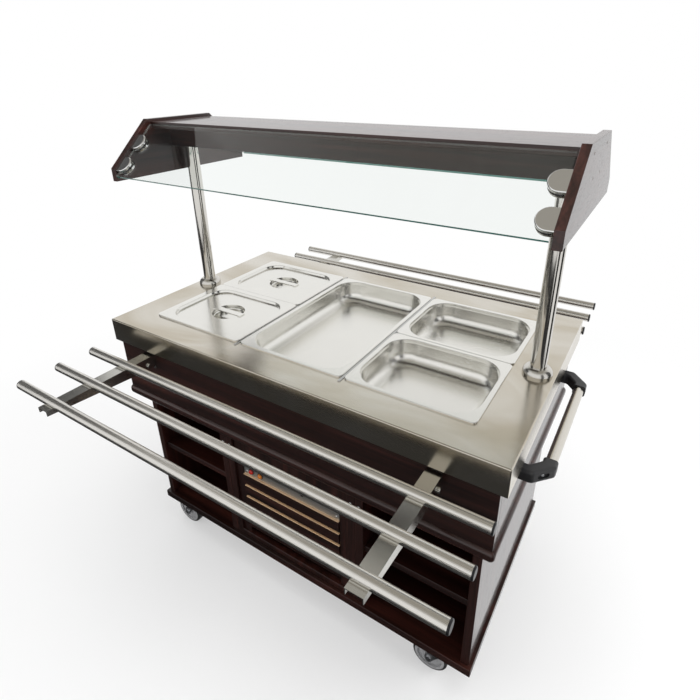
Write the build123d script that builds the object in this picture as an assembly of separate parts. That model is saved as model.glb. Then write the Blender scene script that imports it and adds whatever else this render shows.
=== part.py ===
from build123d import *
import math
import os

os.makedirs("parts", exist_ok=True)

# Hot buffet counter: a wheeled wooden cabinet with a heated well for five pans, a glazed canopy
# and a folding tray slide on each long side. Millimetres, X along the counter, -Y the front, +Z up.
# The origin is on the floor, under the middle of the counter.

# Pans and lids: standard catering sizes, which the rest of the counter is built around
PAN_WIDTH = 325.0
PAN_LENGTH = 530.0
PAN_GAP = 8.0
PAN_PLAY = 0.6
PAN_SHEET = 1.0
PAN_DEPTH = 65.0
PAN_MARGIN = 11.0
PAN_CORNER = 66.0
PAN_STEP = 10.0
PAN_SHOULDER = 3.0
PAN_TAPER = 6.0
PAN_ROUND = 34.0
PAN_CLEAR = 3.0
RIM_HEIGHT = 4.0
RIM_CORNER = 12.0
RIM_ROUND = 1.5
BAR_CLEAR = 4.0
BAR_HEIGHT = 14.0
BAR_RIDGE = 2.0
RIDGE_CLEAR = 1.0
BAR_LUG = 20.0
LID_SHEET = 1.0
LID_RECESS = 8.0
LID_CLEAR_X = 9.0
LID_CLEAR_Y = 8.0
LID_CORNER_CUT = 9.0
LID_TAPER = 20.0
LID_ROUND = 3.0
POCKET_RADIUS = 50.0
POCKET_DEPTH = 16.0
POCKET_ROUND = 8.0
STRAP_WIDTH = 20.0
STRAP_THICK = 3.0
STRAP_ROUND = 1.0
STRAP_FOOT = 6.0

# Worktop and water well
TOP_SHEET = 1.5
END_LAND = 99.5
SIDE_LAND = 87.0
APRON_HEIGHT = 68.0
WORKTOP_BEND = 3.0
WELL_SHEET = 1.2
WELL_DEPTH = 150.0
WELL_MARGIN = 4.0
WELL_FLANGE = 12.0
WELL_CORNER = 30.0
ELEMENT_RADIUS = 4.0
ELEMENT_INSET = 61.5
ELEMENT_SPREAD = 180.0
ELEMENT_RISE = 28.0
ELEMENT_LEG = 24.0
ELEMENT_BEND = 20.0
ELEMENT_CLEAR = 0.2

# Cabinet boards, from the worktop's overhang inwards
OVERHANG_X = 16.0
OVERHANG_Y = 10.0
UPPER_HEIGHT = 228.5
UPPER_BOARD = 18.0
WAIST_THICK = 32.0
WAIST_NOSE = 7.0
WAIST_FLAT = 6.0
WAIST_CORNER = 10.0
LOWER_SETBACK_X = 26.0
LOWER_SETBACK_Y = 37.0
LOWER_HEIGHT = 425.0
SIDE_BOARD = 22.0
BACK_BOARD = 18.0
BOARD_EDGE = 1.5
BAY_WIDTH = 400.0
DIVIDER_BOARD = 24.0
SHELF_RISE = 214.0
SHELF_BOARD = 20.0
SHELF_SETBACK = 10.0
BASE_LIP_X = 8.0
BASE_LIP_Y = 11.0
BASE_THICK = 25.0
SERVICE_WIDTH = 220.0
SERVICE_HEIGHT = 160.0
SERVICE_CORNER = 20.0
SERVICE_DROP = 30.0

# Centre bay: frame, louvre slats and control plate
FRAME_RECESS = 7.0
FRAME_BOARD = 20.0
STILE_WIDTH = 30.0
STRIP_SIZE = 18.0
SLAT_PITCH = 44.7
SLAT_HEIGHT = 35.0
SLAT_THICK = 6.5
SLAT_PROUD = 4.0
SLAT_EDGE = 1.0
PLATE_DROP = 88.0
PLATE_HEIGHT = 78.0
PLATE_SHEET = 1.5

# Controls on the plate
BUTTON_INSET = 29.0
LAMP_SPACING = 34.0
LAMP_RISE = 17.0
LENS_RADIUS = 7.5
LENS_RISE = 5.5
LENS_ROUND = 5.0
BEZEL_WALL = 1.5
BEZEL_LIP = 1.0
BEZEL_RISE = 2.0
BEZEL_DEPTH = 22.0
BUTTON_TRAVEL = 3.0
BUTTON_SKIRT = 10.0
BUTTON_CLEAR = 0.3
KNOB_X = 60.0
KNOB_RISE = 58.0
KNOB_RADIUS = 15.0
KNOB_SKIRT = 9.0
KNOB_GRIP = 9.0
KNOB_GRIP_WIDTH = 7.0
KNOB_GAP = 0.5
SHAFT_RADIUS = 3.0
SHAFT_INTO_KNOB = 10.0
SHAFT_CLEAR = 0.06
THERMOSTAT_SIZE = 40.0
THERMOSTAT_DEPTH = 34.0

# Drain, which faces the service opening at the rear
DRAIN_INSET = 71.0
DRAIN_RADIUS = 12.5
DRAIN_WALL = 2.0
DRAIN_CLEAR = 1.0
DRAIN_BEND = 25.0
DRAIN_STUB = 5.0
DRAIN_BELOW_WAIST = 88.0
VALVE_WALL = 5.5
VALVE_LENGTH = 44.0
TAIL_LENGTH = 36.0
STEM_RADIUS = 4.0
STEM_REACH = 12.0
STEM_CLEAR = 0.06
LEVER_LENGTH = 85.0
LEVER_WIDTH = 16.0
LEVER_THICK = 4.0
LEVER_GAP = 0.5

# Canopy
POST_EDGE = 43.0
POST_RADIUS = 19.0
POST_WALL = 1.5
POST_CLEAR = 0.2
FLANGE_WIDTH = 16.0
FLANGE_EDGE = 5.0
FLANGE_HEIGHT = 20.0
FLANGE_NECK = 4.0
FLANGE_SHOULDER_IN = 4.0
FLANGE_SHOULDER_UP = 9.0
CANOPY_HEIGHT = 544.0
CANOPY_OVERHANG = 7.0
CANOPY_BOARD = 18.0
CANOPY_TOP_DEPTH = 238.0
CANOPY_TIP_DEPTH = 500.0
TIP_FALL = 121.0
TIP_EDGE = 35.0
TOP_BOARD_SETBACK = 11.0
TOP_BOARD_SINK = 8.0
BEAM_DEPTH = 90.0
BEAM_HEIGHT = 56.0
GLASS_THICK = 6.0
GLASS_WIDTH = 186.0
GLASS_INSET = 14.0
GLASS_START = 8.0
GLASS_GAP = 5.0
CLAMP_RADIUS = 25.0
CLAMP_STRAIGHT = 13.0
CLAMP_PLATE = 7.0
CLAMP_EDGE = 3.0
CLAMP_FIRST = 23.0
CLAMP_SPACING = 79.0

# Tray slides
RAIL_RADIUS = 12.5
RAIL_WALL = 1.5
RAIL_SHORT = 3.0
RAIL_OUT = 76.0
RAIL_PITCH = 100.0
RAIL_COUNT = 3
RAIL_BELOW_APRON = 4.0
CAP_THICK = 4.0
CAP_PLUG = 16.0
CAP_CLEAR = 0.1
CAP_EDGE = 2.5
ARM_INSET = 146.0
ARM_WIDTH = 36.0
ARM_SHEET = 2.0
ARM_SINK = 8.5
ARM_SEAT = 5.5
ARM_STUB = 28.0
ARM_BELOW_PIVOT = 12.0
NOTCH_CLEAR = 0.1
PIVOT_OUT = 26.0
PIVOT_BELOW_ARM = 24.0
PIVOT_RADIUS = 4.0
PIVOT_CLEAR = 0.06
TAIL_GAP = 3.0
BRACKET_CLEAR = 0.5
BRACKET_SHEET = 3.0
BRACKET_EAR = 12.0
BRACKET_HEIGHT = 46.0
BOLT_HEAD_RADIUS = 7.5
BOLT_HEAD = 5.0
BOLT_ROUND = 2.5
BOLT_GAP = 0.3

# Push handles
HANDLE_RADIUS = 12.5
HANDLE_WALL = 1.5
HANDLE_STANDOFF = 56.0
HANDLE_BELOW_APRON = 49.0
HANDLE_SPAN = 320.0
HANDLE_SOCKET = 14.0
HANDLE_CLEAR = 0.1
BOSS_WALL = 3.0
BOSS_LENGTH = 22.0
BOSS_NECK = 12.0
BOSS_ROUND = 7.0
FOOT_OUT = 37.0
FOOT_WIDTH = 28.0
FOOT_REACH = 20.0
FOOT_CORNER = 33.0
ELBOW_ROUND = 12.0
RECESS_LENGTH = 28.0
RECESS_WIDTH = 13.0
RECESS_DEPTH = 4.0

# Castors
CASTOR_INSET_X = 86.0
CASTOR_INSET_Y = 54.0
CASTOR_TRAIL = 35.0
WHEEL_RADIUS = 50.0
WHEEL_WIDTH = 32.0
WHEEL_HEADROOM = 4.7
TREAD_ROUND = 6.0
WHEEL_DISH = 5.0
TYRE_WALL = 14.0
HUB_RADIUS = 13.0
AXLE_RADIUS = 5.0
AXLE_CLEAR = 0.06
AXLE_HEAD = 4.0
AXLE_HEAD_RADIUS = 8.5
FORK_GAP = 2.0
FORK_SHEET = 3.0
FORK_END = 12.0
FORK_CROWN = 25.0
BRIDGE_HEIGHT = 10.0
CROWN_HEIGHT = 20.0
SWIVEL_GAP = 0.3
KINGPIN_RADIUS = 8.0
KINGPIN_LENGTH = 14.0
KINGPIN_CLEAR = 0.06
CASTOR_PLATE_X = 95.0
CASTOR_PLATE_Y = 75.0
CASTOR_PLATE = 3.0
CASTOR_PLATE_CORNER = 8.0
PEDAL_PIN_RADIUS = 3.0
PEDAL_ANGLE = 43.6
PEDAL_GAP = 2.0
PEDAL_CLEAR = 0.06
PEDAL_SIDE = 1.0
PEDAL_EYE = 6.0
PEDAL_LENGTH = 40.0
PEDAL_THICK = 4.0

# Castor levels, from the floor up to the base board
z_axle = WHEEL_RADIUS
z_crown = 2 * WHEEL_RADIUS + WHEEL_HEADROOM
z_crown_top = z_crown + CROWN_HEIGHT
z_castor_plate = z_crown_top + SWIVEL_GAP
z_base = z_castor_plate + CASTOR_PLATE
y_leg = WHEEL_WIDTH / 2 + FORK_GAP
pedal_arm = WHEEL_RADIUS + PEDAL_GAP + PEDAL_EYE
x_pedal = -CASTOR_TRAIL - pedal_arm * math.cos(math.radians(PEDAL_ANGLE))
z_pedal = z_axle + pedal_arm * math.sin(math.radians(PEDAL_ANGLE))

# Levels of the cabinet and worktop
z_floor = z_base + BASE_THICK
z_waist = z_floor + LOWER_HEIGHT
z_upper = z_waist + WAIST_THICK
z_sheet = z_upper + UPPER_HEIGHT
z_top = z_sheet + TOP_SHEET
z_apron = z_top - APRON_HEIGHT

# Pans, cut-out and well
pan_pitch = PAN_WIDTH + PAN_GAP
half_pan = (PAN_LENGTH - PAN_PLAY) / 2
x_rims = pan_pitch + PAN_WIDTH / 2
y_rims = PAN_LENGTH / 2
rim_bearing = PAN_MARGIN - PAN_CLEAR
x_cutout = x_rims - rim_bearing
y_cutout = y_rims - rim_bearing
x_bar = pan_pitch / 2
bar_half = PAN_GAP / 2 + PAN_MARGIN - BAR_CLEAR
cross_half = PAN_PLAY / 2 + PAN_MARGIN - BAR_CLEAR
x_well = x_cutout + WELL_MARGIN
y_well = y_cutout + WELL_MARGIN
z_well = z_sheet - WELL_DEPTH
z_rim = z_top + RIM_HEIGHT
x_element = x_well - ELEMENT_INSET
y_drain = y_well - DRAIN_INSET
z_drain = z_waist - DRAIN_BELOW_WAIST
y_valve = y_drain + DRAIN_BEND + DRAIN_STUB
y_stem = y_valve + VALVE_LENGTH / 2
valve_radius = DRAIN_RADIUS + VALVE_WALL

# Worktop and cabinet faces
x_worktop = x_rims + END_LAND
y_worktop = y_rims + SIDE_LAND
x_upper = x_worktop - OVERHANG_X
y_upper = y_worktop - OVERHANG_Y
x_lower = x_upper - LOWER_SETBACK_X
y_lower = y_upper - LOWER_SETBACK_Y
x_base = x_lower + BASE_LIP_X
y_base = y_lower + BASE_LIP_Y
x_inside = x_lower - SIDE_BOARD
y_back = y_lower - BACK_BOARD

# Centre bay faces and control places
x_bay = BAY_WIDTH / 2
x_divider = x_bay + 2 * DIVIDER_BOARD
x_stile = x_bay - STILE_WIDTH
z_strip = z_floor + STRIP_SIZE
y_frame = -y_lower + FRAME_RECESS
y_slat = y_frame - SLAT_PROUD
y_plate = y_slat + SLAT_THICK
z_plate_top = z_waist - PLATE_DROP
z_plate = z_plate_top - PLATE_HEIGHT
slat_count = int((z_plate - z_strip) // SLAT_PITCH)
x_button = -x_stile + BUTTON_INSET
x_lamp = x_button + LAMP_SPACING
z_lamp = z_plate + LAMP_RISE
z_knob = z_plate + KNOB_RISE
bezel_shank = LENS_RADIUS + BEZEL_WALL

# Canopy faces
x_post = x_worktop - POST_EDGE
z_canopy = z_top + CANOPY_HEIGHT
z_canopy_board = z_canopy - TOP_BOARD_SINK
z_beam_top = z_canopy_board - CANOPY_BOARD
z_beam = z_beam_top - BEAM_HEIGHT
z_tip = z_canopy - TIP_FALL
x_canopy = x_worktop + CANOPY_OVERHANG - CANOPY_BOARD
canopy_run = (CANOPY_TIP_DEPTH - CANOPY_TOP_DEPTH) / 2
slant = math.hypot(canopy_run, TIP_FALL)
clamp_places = (slant - CLAMP_FIRST, slant - CLAMP_FIRST - CLAMP_SPACING)
clamp_reach = CLAMP_STRAIGHT + CLAMP_RADIUS

# Tray slide and handle places
x_rail = x_worktop - RAIL_SHORT
z_rail = z_apron - RAIL_BELOW_APRON
z_arm = z_rail - RAIL_RADIUS + ARM_SINK
x_arm = x_rail - ARM_INSET
arm_half = ARM_WIDTH / 2
rail_places = [y_worktop + RAIL_OUT + i * RAIL_PITCH for i in range(RAIL_COUNT)]
y_arm_tip = rail_places[-1] + ARM_STUB
y_pivot = y_upper + PIVOT_OUT
z_pivot = z_arm - PIVOT_BELOW_ARM
pivot_tail = PIVOT_OUT - BRACKET_SHEET - TAIL_GAP
x_handle = x_upper + HANDLE_STANDOFF
z_handle = z_apron - HANDLE_BELOW_APRON
boss_radius = HANDLE_RADIUS + BOSS_WALL

LOW = (Align.CENTER, Align.CENTER, Align.MIN)


def block(x0, x1, y0, y1, z0, z1):
    """A board or bar between two corners."""
    middle = Pos((x0 + x1) / 2, (y0 + y1) / 2, (z0 + z1) / 2)
    return middle * Box(x1 - x0, y1 - y0, z1 - z0)


def rod(start, direction, radius, length):
    """A round bar from a start point along a direction."""
    return Plane(origin=start, z_dir=direction) * Cylinder(radius, length, align=LOW)


def tube(start, direction, radius, wall, length):
    """A round tube from a start point along a direction."""
    return rod(start, direction, radius, length) - rod(start, direction, radius - wall, length)


def side_plate(outline, x0, x1):
    """A plate with a (y, z) outline, from x0 to x1."""
    face = Plane.YZ * Polygon(*outline, align=None)
    return Pos(x0, 0, 0) * extrude(face, x1 - x0)


def rounded(width, length, corner):
    """A rectangle with round corners."""
    return RectangleRounded(width, length, corner)


def bowl(width, length, corner, depth, taper, bottom_round):
    """A solid tapered bowl form that hangs below z = 0."""
    form = extrude(rounded(width, length, corner), -depth, taper=taper)
    return fillet(form.faces().sort_by(Axis.Z)[0].edges(), bottom_round)


def eased(board, direction):
    """A board with its edges along one direction rounded over a little."""
    return fillet(board.edges().filter_by(direction), BOARD_EDGE)


def front_and_rear(piece):
    """The front piece and its twin at the rear."""
    return [piece, mirror(piece, Plane.XZ)]


def right_and_left(piece):
    """The right-hand piece and its twin at the left."""
    return [piece, mirror(piece, Plane.YZ)]


def all_corners(piece):
    """One piece repeated at the four corners."""
    return [twin for half in right_and_left(piece) for twin in front_and_rear(half)]


def save(node, *pieces):
    """Write the solids of one node."""
    solids = [solid for piece in pieces for solid in piece.solids()]
    export_step(Compound(label=node, children=solids), "parts/" + node + ".step")


# Lower cabinet
def base_board():
    board = block(-x_base, x_base, -y_base, y_base, z_base, z_floor)
    return fillet(board.edges(), BOARD_EDGE)


def side_panel():
    return eased(block(x_inside, x_lower, -y_lower, y_lower, z_floor, z_waist), Axis.Z)


def divider_boards():
    inner = block(x_bay, x_bay + DIVIDER_BOARD, -y_lower, y_back, z_floor, z_waist)
    outer = block(x_bay + DIVIDER_BOARD, x_divider, -y_lower, y_back, z_floor, z_waist)
    return right_and_left(eased(inner, Axis.Z)) + right_and_left(eased(outer, Axis.Z))


def shelf():
    top = z_floor + SHELF_RISE
    board = block(x_divider, x_inside, -y_lower + SHELF_SETBACK, y_back, top - SHELF_BOARD, top)
    return eased(board, Axis.X)


def back_panel():
    board = block(-x_inside, x_inside, y_back, y_lower, z_floor, z_waist)
    z_middle = z_waist - SERVICE_DROP - SERVICE_HEIGHT / 2
    window = Plane(origin=(0, y_lower, z_middle), x_dir=(1, 0, 0), z_dir=(0, -1, 0))
    cut = extrude(window * rounded(SERVICE_WIDTH, SERVICE_HEIGHT, SERVICE_CORNER), BACK_BOARD)
    return board - cut


def waist_board():
    x_nose = x_upper + WAIST_NOSE
    y_nose = y_upper + WAIST_NOSE
    board = block(-x_nose, x_nose, -y_nose, y_nose, z_waist, z_upper)
    board = fillet(board.edges().filter_by(Axis.Z), WAIST_CORNER)
    rims = board.faces().sort_by(Axis.Z)[0].edges() + board.faces().sort_by(Axis.Z)[-1].edges()
    board = fillet(rims, (WAIST_THICK - WAIST_FLAT) / 2)
    return board - rod((0, y_drain, z_waist), (0, 0, 1), DRAIN_RADIUS + DRAIN_CLEAR, WAIST_THICK)


# Upper cabinet
def upper_front_panel():
    return eased(block(-x_upper, x_upper, -y_upper, -y_upper + UPPER_BOARD, z_upper, z_sheet), Axis.Z)


def upper_end_panel():
    y_end = y_upper - UPPER_BOARD
    return block(x_upper - UPPER_BOARD, x_upper, -y_end, y_end, z_upper, z_sheet)


# Centre bay
def louvre_frame():
    y_rear = y_frame + FRAME_BOARD
    stile = eased(block(x_stile, x_bay, y_frame, y_rear, z_strip, z_waist), Axis.Z)
    top_rail = block(-x_stile, x_stile, y_frame, y_rear, z_plate_top, z_waist)
    strip = block(-x_bay, x_bay, -y_lower, -y_lower + STRIP_SIZE, z_floor, z_strip)
    return right_and_left(stile) + [eased(top_rail, Axis.X), eased(strip, Axis.X)]


def louvre_slats():
    slat = block(-x_stile, x_stile, y_slat, y_plate, z_plate - SLAT_HEIGHT, z_plate)
    long_edges = slat.edges().filter_by(Axis.X).sort_by(Axis.Y)[:2]
    slat = chamfer(long_edges, SLAT_EDGE)
    return [Pos(0, 0, -i * SLAT_PITCH) * slat for i in range(slat_count)]


def control_plate():
    plate = block(-x_stile, x_stile, y_plate, y_plate + PLATE_SHEET, z_plate, z_plate_top)
    for x in (x_button, x_lamp):
        plate -= rod((x, y_plate, z_lamp), (0, 1, 0), bezel_shank, PLATE_SHEET)
    return plate - rod((KNOB_X, y_plate, z_knob), (0, 1, 0), SHAFT_RADIUS + SHAFT_CLEAR, PLATE_SHEET)


def bezel(x, bore):
    """A black ring on the plate with its shank behind, open for a lens or a button."""
    ring = rod((x, y_plate, z_lamp), (0, -1, 0), bezel_shank + BEZEL_LIP, BEZEL_RISE)
    shank = rod((x, y_plate, z_lamp), (0, 1, 0), bezel_shank, BEZEL_DEPTH)
    depth = BUTTON_SKIRT + BUTTON_TRAVEL + BEZEL_RISE
    hole = rod((x, y_plate - BEZEL_RISE, z_lamp), (0, 1, 0), bore, depth)
    return ring + shank - hole


def lens(x, skirt):
    """A domed lens that stands out of its bezel."""
    y_face = y_plate - BEZEL_RISE - LENS_RISE
    y_end = y_plate - BEZEL_RISE + skirt
    body = rod((x, y_end, z_lamp), (0, -1, 0), LENS_RADIUS, y_end - y_face)
    return fillet(body.faces().sort_by(Axis.Y)[0].edges(), LENS_ROUND)


def thermostat():
    y_body = y_plate + PLATE_SHEET
    half = THERMOSTAT_SIZE / 2
    y_rear = y_body + THERMOSTAT_DEPTH
    body = block(KNOB_X - half, KNOB_X + half, y_body, y_rear, z_knob - half, z_knob + half)
    length = PLATE_SHEET + KNOB_GAP + SHAFT_INTO_KNOB
    return body + rod((KNOB_X, y_body, z_knob), (0, -1, 0), SHAFT_RADIUS, length)


def thermostat_knob():
    y_rear = y_plate - KNOB_GAP
    y_skirt = y_rear - KNOB_SKIRT
    skirt = rod((KNOB_X, y_rear, z_knob), (0, -1, 0), KNOB_RADIUS, KNOB_SKIRT)
    half = KNOB_GRIP_WIDTH / 2
    grip = block(KNOB_X - half, KNOB_X + half, y_skirt - KNOB_GRIP, y_skirt,
                 z_knob - KNOB_RADIUS, z_knob + KNOB_RADIUS)
    grip &= rod((KNOB_X, y_skirt, z_knob), (0, -1, 0), KNOB_RADIUS, KNOB_GRIP)
    depth = SHAFT_INTO_KNOB + KNOB_GAP
    bore = rod((KNOB_X, y_rear, z_knob), (0, -1, 0), SHAFT_RADIUS + SHAFT_CLEAR, depth)
    return skirt + grip - bore


# Worktop, water well, heating and drain
def worktop():
    skin = block(-x_worktop, x_worktop, -y_worktop, y_worktop, z_apron, z_top)
    bends = skin.faces().sort_by(Axis.Z)[-1].edges() + skin.edges().filter_by(Axis.Z)
    skin = fillet(bends, WORKTOP_BEND)
    inner_x = x_worktop - TOP_SHEET
    inner_y = y_worktop - TOP_SHEET
    skin -= block(-inner_x, inner_x, -inner_y, inner_y, z_apron, z_sheet)
    return skin - block(-x_cutout, x_cutout, -y_cutout, y_cutout, z_sheet, z_top)


def water_well():
    wide = 2 * (x_well + WELL_SHEET)
    deep = 2 * (y_well + WELL_SHEET)
    flange = rounded(wide + 2 * WELL_FLANGE, deep + 2 * WELL_FLANGE, WELL_CORNER)
    well = extrude(flange, -WELL_SHEET) + extrude(rounded(wide, deep, WELL_CORNER), -WELL_DEPTH)
    inside = rounded(2 * x_well, 2 * y_well, WELL_CORNER - WELL_SHEET)
    well -= extrude(inside, -WELL_DEPTH + WELL_SHEET)
    well = Pos(0, 0, z_sheet) * well
    well -= rod((0, y_drain, z_well), (0, 0, 1), DRAIN_RADIUS - DRAIN_WALL, WELL_SHEET)
    for y in (-ELEMENT_SPREAD / 2, ELEMENT_SPREAD / 2):
        start = (-x_element, y, z_well)
        well -= rod(start, (0, 0, 1), ELEMENT_RADIUS + ELEMENT_CLEAR, WELL_SHEET)
    return well


def heating_element():
    """One bent tube: up through the well's floor, along the well, across and back."""
    x = x_element
    y = ELEMENT_SPREAD / 2
    z_low = z_well - ELEMENT_LEG
    z_high = z_well + ELEMENT_RISE
    going = [(-x, -y, z_low), (-x, -y, z_high), (x, -y, z_high)]
    points = going + [(x, -y, z) for x, y, z in reversed(going)]
    path = FilletPolyline(*points, radius=ELEMENT_BEND)
    section = Plane(origin=points[0], z_dir=(0, 0, 1)) * Circle(ELEMENT_RADIUS)
    return sweep(section, path)


def drain_pipe():
    """A pipe that bends from the well's floor to the rear, and the hose tail beyond the valve."""
    start = (0, y_drain, z_well)
    path = FilletPolyline(start, (0, y_drain, z_drain), (0, y_valve, z_drain), radius=DRAIN_BEND)
    ring = Circle(DRAIN_RADIUS) - Circle(DRAIN_RADIUS - DRAIN_WALL)
    pipe = sweep(Plane(origin=start, z_dir=(0, 0, -1)) * ring, path)
    y_tail = y_valve + VALVE_LENGTH
    return [pipe, tube((0, y_tail, z_drain), (0, 1, 0), DRAIN_RADIUS, DRAIN_WALL, TAIL_LENGTH)]


def drain_valve():
    start = (0, y_valve, z_drain)
    body = rod(start, (0, 1, 0), valve_radius, VALVE_LENGTH)
    body -= rod(start, (0, 1, 0), DRAIN_RADIUS - DRAIN_WALL, VALVE_LENGTH)
    ball = Pos(0, y_stem, z_drain) * Sphere(DRAIN_RADIUS)
    reach = valve_radius + LEVER_GAP + STEM_REACH
    return body + ball + rod((0, y_stem, z_drain), (0, 0, 1), STEM_RADIUS, reach)


def drain_lever():
    z_lever = z_drain + valve_radius + LEVER_GAP
    outline = Pos(LEVER_LENGTH / 2 - LEVER_WIDTH / 2, 0) * SlotOverall(LEVER_LENGTH, LEVER_WIDTH)
    lever = Pos(0, y_stem, z_lever) * extrude(outline, LEVER_THICK)
    return lever - rod((0, y_stem, z_lever), (0, 0, 1), STEM_RADIUS + STEM_CLEAR, LEVER_THICK)


# Bars, pans and lids
def pan_bar():
    bar = block(x_bar - bar_half, x_bar + bar_half, -y_cutout, y_cutout, z_top - BAR_HEIGHT, z_top)
    ridge = PAN_GAP / 2 - RIDGE_CLEAR
    y_lug = y_cutout + BAR_LUG
    return bar + block(x_bar - ridge, x_bar + ridge, -y_lug, y_lug, z_top, z_top + BAR_RIDGE)


def cross_bar():
    return block(x_bar + bar_half, x_cutout, -cross_half, cross_half, z_top - BAR_HEIGHT, z_top)


def pan_form(width, length, corner, depth, step):
    """A solid pan form below z = 0: a straight band, a shoulder and a tapered bowl."""
    band = extrude(rounded(width, length, corner), -step)
    inset = 2 * PAN_SHOULDER
    lower = bowl(width - inset, length - inset, corner - PAN_SHOULDER, depth - step, PAN_TAPER,
                 PAN_ROUND - PAN_DEPTH + depth)
    return band + Pos(0, 0, -step) * lower


def pan(x, y, length):
    """A pressed pan whose rim stands on the worktop and the bars."""
    width_in = PAN_WIDTH - 2 * PAN_MARGIN
    length_in = length - 2 * PAN_MARGIN
    twice = 2 * PAN_SHEET
    rim = extrude(rounded(PAN_WIDTH, length, RIM_CORNER), -RIM_HEIGHT)
    rim = fillet(rim.faces().sort_by(Axis.Z)[-1].edges(), RIM_ROUND)
    rim -= Pos(0, 0, -PAN_SHEET) * extrude(
        rounded(PAN_WIDTH - twice, length - twice, RIM_CORNER - PAN_SHEET), -RIM_HEIGHT)
    shape = rim + pan_form(width_in, length_in, PAN_CORNER, PAN_DEPTH, PAN_STEP)
    shape -= pan_form(width_in - twice, length_in - twice, PAN_CORNER - PAN_SHEET, PAN_DEPTH - PAN_SHEET,
                      PAN_STEP - PAN_SHEET)
    mouth = shape.faces().sort_by(Axis.Z)[-1].inner_wires()[0]
    return Pos(x, y, z_rim) * fillet(mouth.edges(), RIM_ROUND)


def lid_form(width, length, sink):
    """A solid lid form below z = 0: a shallow panel with a round finger pocket."""
    shrink = 2 * sink
    corner = PAN_CORNER - PAN_SHEET - LID_CORNER_CUT - sink
    depth = LID_RECESS + LID_SHEET - sink
    panel = bowl(width - shrink, length - shrink, corner, depth, LID_TAPER, LID_ROUND - sink)
    pocket = Cylinder(POCKET_RADIUS - sink, POCKET_DEPTH, align=(Align.CENTER, Align.CENTER, Align.MAX))
    pocket = fillet(pocket.faces().sort_by(Axis.Z)[0].edges(), POCKET_ROUND - sink)
    return panel + Pos(0, 0, -LID_RECESS - LID_SHEET + sink) * pocket


def lid(x, y):
    """A pressed lid with a strap across its finger pocket."""
    margin = PAN_MARGIN + PAN_SHEET
    width = PAN_WIDTH - 2 * (margin + LID_CLEAR_X)
    length = half_pan - 2 * (margin + LID_CLEAR_Y)
    sheet = extrude(rounded(PAN_WIDTH, half_pan, RIM_CORNER), -LID_SHEET)
    shape = sheet + lid_form(width, length, 0) - lid_form(width, length, LID_SHEET)
    mouth = shape.faces().sort_by(Axis.Z)[-1].inner_wires()[0]
    shape = fillet(mouth.edges(), RIM_ROUND)
    half_strap = POCKET_RADIUS + STRAP_FOOT
    half_width = STRAP_WIDTH / 2
    z_strap = STRAP_THICK - LID_RECESS
    strap = block(-half_strap, half_strap, -half_width, half_width, -LID_RECESS, z_strap)
    strap = fillet(strap.edges().filter_by(Axis.X).sort_by(Axis.Z)[-2:], STRAP_ROUND)
    seat = Pos(x, y, z_rim + LID_SHEET)
    return [seat * shape, seat * strap]


# Canopy
def canopy_post():
    return tube((x_post, 0, z_top), (0, 0, 1), POST_RADIUS, POST_WALL, z_beam_top - z_top)


def post_flange():
    bore = POST_RADIUS + POST_CLEAR
    rim = bore + FLANGE_WIDTH
    profile = Polyline((bore, 0), (rim, 0), (rim, FLANGE_EDGE))
    shoulder = (rim - FLANGE_SHOULDER_IN, FLANGE_EDGE + FLANGE_SHOULDER_UP)
    neck = (bore + FLANGE_NECK, FLANGE_HEIGHT)
    dome = ThreePointArc((rim, FLANGE_EDGE), shoulder, neck)
    closing = Polyline(neck, (bore, FLANGE_HEIGHT), (bore, 0))
    face = Plane.XZ * make_face([*profile.edges(), dome, *closing.edges()])
    return Pos(x_post, 0, z_top) * revolve(face, Axis.Z)


def canopy_end():
    y_high = CANOPY_TOP_DEPTH / 2
    y_tip = CANOPY_TIP_DEPTH / 2
    front = [(-y_high, z_canopy), (-y_tip, z_tip), (-y_tip, z_tip - TIP_EDGE)]
    rear = [(-y, z) for y, z in reversed(front)]
    board = side_plate(front + rear, x_canopy, x_canopy + CANOPY_BOARD)
    faces = board.faces().sort_by(Axis.X)
    return fillet(faces[0].edges() + faces[-1].edges(), BOARD_EDGE)


def canopy_top_board():
    half = CANOPY_TOP_DEPTH / 2 - TOP_BOARD_SETBACK
    return eased(block(-x_canopy, x_canopy, -half, half, z_beam_top, z_canopy_board), Axis.X)


def canopy_beam():
    y_out = BEAM_DEPTH / 2
    y_in = y_out - CANOPY_BOARD
    face = block(-x_canopy, x_canopy, -y_out, -y_in, z_beam, z_beam_top)
    floor = block(-x_canopy, x_canopy, -y_in, y_in, z_beam, z_beam + CANOPY_BOARD)
    hole = rod((x_post, 0, z_beam), (0, 0, 1), POST_RADIUS + POST_CLEAR, CANOPY_BOARD)
    for twin in right_and_left(hole):
        floor -= twin
    return front_and_rear(eased(face, Axis.X)) + [floor]


def slope_plane(along, x, x_dir):
    """A plane on the middle of the front pane, a distance down the canopy's slanted edge."""
    down = Vector(0, -canopy_run, -TIP_FALL) / slant
    outward = Vector(0, -TIP_FALL, canopy_run) / slant
    start = Vector(x, -CANOPY_TOP_DEPTH / 2, z_canopy)
    return Plane(origin=start + down * along - outward * GLASS_INSET, x_dir=x_dir, z_dir=outward)


def canopy_glass():
    length = 2 * (x_canopy - GLASS_GAP)
    middle = slope_plane(GLASS_START + GLASS_WIDTH / 2, 0, (1, 0, 0))
    return middle * Box(length, GLASS_WIDTH, GLASS_THICK)


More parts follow.
